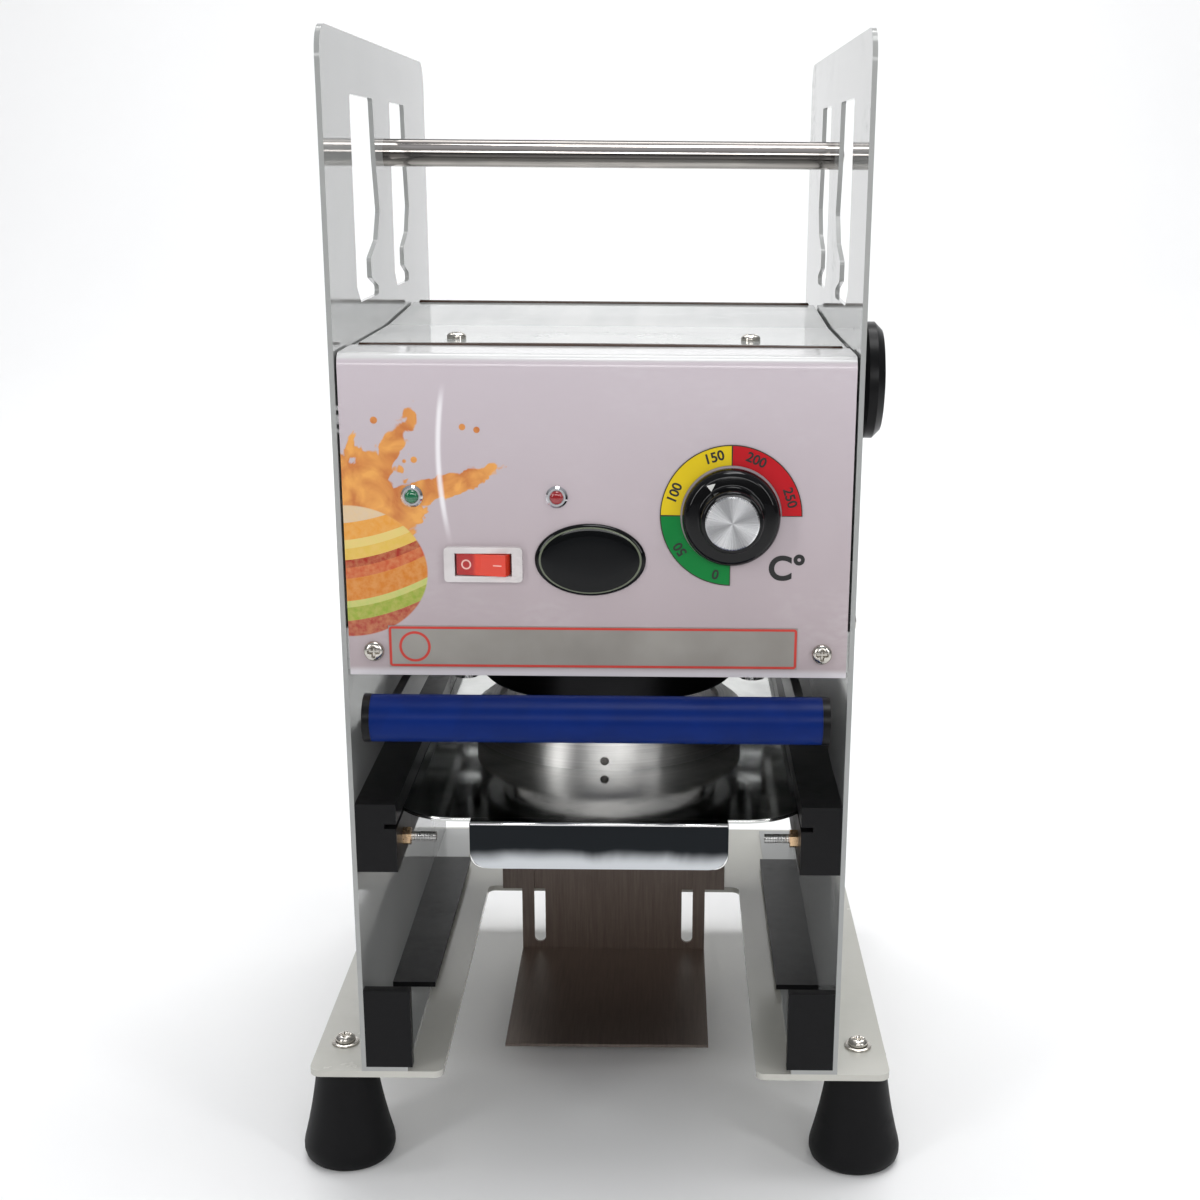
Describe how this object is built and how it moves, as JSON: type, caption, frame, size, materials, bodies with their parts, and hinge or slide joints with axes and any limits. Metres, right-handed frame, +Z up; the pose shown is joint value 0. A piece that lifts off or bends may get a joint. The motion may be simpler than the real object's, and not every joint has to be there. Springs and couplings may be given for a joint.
{
  "type": "cup sealing machine",
  "caption": "Manual heat sealer for drinking cups: open white frame with film reel hooks, control panel, press head on a lever bar, sliding ring drawer and cup shelf.",
  "frame": {"origin": "on the table under the four feet, on the axis of the cup ring, which is also the middle of the footprint", "axes": "+Z up, -Y to the operator's side with the control panel, +X to the operator's right where the film feed knob is"},
  "size_m": [0.2702, 0.3164, 0.481],
  "materials": {
    "white_enamel": "gloss stoved enamel",
    "panel_enamel": "gloss printed enamel",
    "black_enamel": "satin black",
    "foot_rubber": "moulded matt",
    "nickel_screws": "bright nickel",
    "brass_screws": "plain",
    "bronze": "sintered",
    "spring_steel": "oiled",
    "chrome_rod": "ground and plated",
    "zinc_steel": "zinc plated",
    "black_nylon": "moulded",
    "black_gloss": "domed resin",
    "white_nylon": "moulded",
    "printed_label": "printed foil",
    "green_lens": "faceted lens",
    "red_lens": "faceted lens",
    "red_rocker": "translucent",
    "insulation_board": "fibre board",
    "turned_aluminium": "lathe turned",
    "blackened_steel": "blackened",
    "brushed_stainless": "brushed",
    "mirror_stainless": "mirror polished",
    "blue_grip": "satin sleeve",
    "roller_rubber": "ground",
    "spun_cap": "spun face"
  },
  "bodies": {
    "frame": {"base_plate": "white_enamel", "left_side_plate": "white_enamel", "right_side_plate": "white_enamel", "front_blocks": "black_enamel", "clamp_strips": "black_enamel", "front_feet": "foot_rubber", "rear_feet": "foot_rubber", "foot_screws": "nickel_screws", "left_rail": "black_enamel", "right_rail": "black_enamel", "stop_bolts": "brass_screws", "guide_beam": "black_enamel", "post_bushes": "bronze", "return_springs": "spring_steel", "lever_shaft": "chrome_rod", "lever_spacers": "zinc_steel", "tie_rod": "chrome_rod", "film_guides": "chrome_rod", "side_screws": "nickel_screws", "feed_bushes": "black_nylon", "front_panel": "panel_enamel", "casing_brackets": "zinc_steel", "top_cover": "white_enamel", "rear_cover": "white_enamel", "power_inlet": "black_nylon", "panel_labels": "printed_label", "thermostat_body": "zinc_steel", "lamp_bezels": "chrome_rod", "green_lens": "green_lens", "red_lens": "red_lens", "switch_housing": "white_nylon", "oval_badge": "black_gloss", "casing_screws": "nickel_screws", "shelf_support": "brushed_stainless", "shelf_clamp_screws": "black_nylon"},
    "head": {"press_crosshead": "black_enamel", "guide_posts": "chrome_rod", "post_collars": "zinc_steel", "insulation_disc": "insulation_board", "heater_plate": "turned_aluminium", "heating_element": "insulation_board", "heater_screws": "nickel_screws", "cutter_ring": "blackened_steel"},
    "lever": {"left_lever_arm": "brushed_stainless", "right_lever_arm": "brushed_stainless", "lever_pins": "chrome_rod", "handle_core": "zinc_steel", "handle_grip": "blue_grip", "handle_end_caps": "black_nylon"},
    "drawer": {"drawer_tray": "mirror_stainless", "mould_ring": "turned_aluminium", "mould_screws": "nickel_screws"},
    "feed": {"feed_shaft": "chrome_rod", "feed_roller": "roller_rubber", "feed_knob": "black_nylon"},
    "dial": {"dial_knob": "black_nylon", "dial_knob_cap": "spun_cap", "thermostat_shaft": "zinc_steel"},
    "switch": {"rocker": "red_rocker"},
    "shelf": {"cup_shelf": "brushed_stainless"}
  },
  "joints": [
    {"name": "lever_press", "type": "hinge", "parent": "frame", "child": "lever", "pos_m": [0, 0.08, 0.214], "axis": [-1, 0, 0], "range_deg": [-6.48, 0]},
    {"name": "head_slide", "type": "slide", "parent": "frame", "child": "head", "axis": [0, 0, 1], "range_m": [-0.0112, 0], "stiffness_N_per_m": 5600, "springref_m": 0.014, "deforming": ["return_springs"]},
    {"name": "drawer_slide", "type": "slide", "parent": "frame", "child": "drawer", "axis": [0, -1, 0], "range_m": [0, 0.207]},
    {"name": "feed_spin", "type": "hinge", "parent": "frame", "child": "feed", "pos_m": [0, -0.089, 0.348], "axis": [1, 0, 0], "continuous": true},
    {"name": "dial_turn", "type": "hinge", "parent": "frame", "child": "dial", "pos_m": [0.0525, -0.135, 0.3], "axis": [0, 1, 0], "range_deg": [-147, 123]},
    {"name": "rocker_tilt", "type": "hinge", "parent": "frame", "child": "switch", "pos_m": [-0.0452, -0.1331, 0.28], "axis": [0, 0, 1], "range_deg": [0, 21]},
    {"name": "shelf_slide", "type": "slide", "parent": "frame", "child": "shelf", "axis": [0, 0, 1], "range_m": [-0.012, 0.04]}
  ],
  "couplings": [
    {"joint": "head_slide", "follows": "lever_press", "m_per_rad": 0.099}
  ]
}
